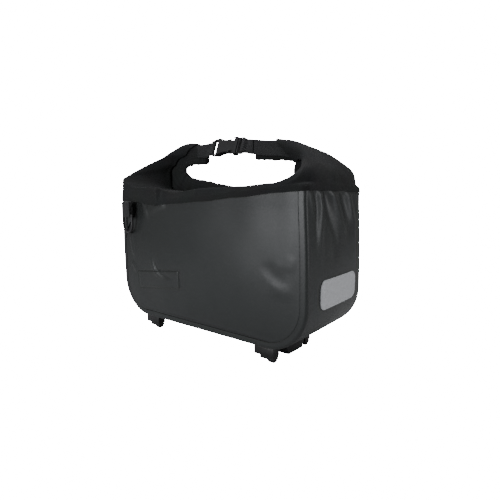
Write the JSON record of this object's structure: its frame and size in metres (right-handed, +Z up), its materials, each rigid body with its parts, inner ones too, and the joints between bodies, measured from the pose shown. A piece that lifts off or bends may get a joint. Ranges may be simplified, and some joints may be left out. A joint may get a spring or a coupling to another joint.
{
  "type": "bicycle trunk bag",
  "caption": "Welded fabric bag for a bicycle's rear rack, its mouth rolled shut into a buckled carrying loop, with moulded rack hooks under it.",
  "frame": {"origin": "on the ground under the middle of the bag, at the bottom of the rack hooks", "axes": "+X to the end with the reflector, -Y to the front, +Z up"},
  "size_m": [0.3899, 0.1724, 0.3304],
  "materials": {
    "coated_fabric_charcoal": "satin coated",
    "woven_fabric_black": "matt woven",
    "webbing_black": "ribbed webbing",
    "moulded_plastic_black": "fine grained",
    "reflective_film_silver": "retroreflective"
  },
  "bodies": {
    "bag": {"gusset": "coated_fabric_charcoal", "front_panel": "coated_fabric_charcoal", "back_panel": "coated_fabric_charcoal", "collar": "woven_fabric_black", "closure_roll": "woven_fabric_black", "webbing_left": "webbing_black", "webbing_right": "webbing_black", "buckle_female": "moulded_plastic_black", "buckle_male": "moulded_plastic_black", "ring_tab_front": "webbing_black", "ring_tab_back": "webbing_black", "reflector": "reflective_film_silver", "rack_plate_left": "moulded_plastic_black", "rack_plate_right": "moulded_plastic_black", "rack_hook_left_front": "moulded_plastic_black", "rack_hook_left_back": "moulded_plastic_black", "rack_hook_right_front": "moulded_plastic_black", "rack_hook_right_back": "moulded_plastic_black"},
    "front_ring": {"d_ring_front": "moulded_plastic_black"},
    "back_ring": {"d_ring_back": "moulded_plastic_black"}
  },
  "joints": [
    {"name": "front_ring_swing", "type": "hinge", "parent": "bag", "child": "front_ring", "pos_m": [-0.166, -0.0825, 0.20836], "axis": [-1, 0, 0], "range_deg": [0, 120]},
    {"name": "back_ring_swing", "type": "hinge", "parent": "bag", "child": "back_ring", "pos_m": [0.166, 0.0825, 0.21415], "axis": [1, 0, 0], "range_deg": [0, 120]}
  ]
}
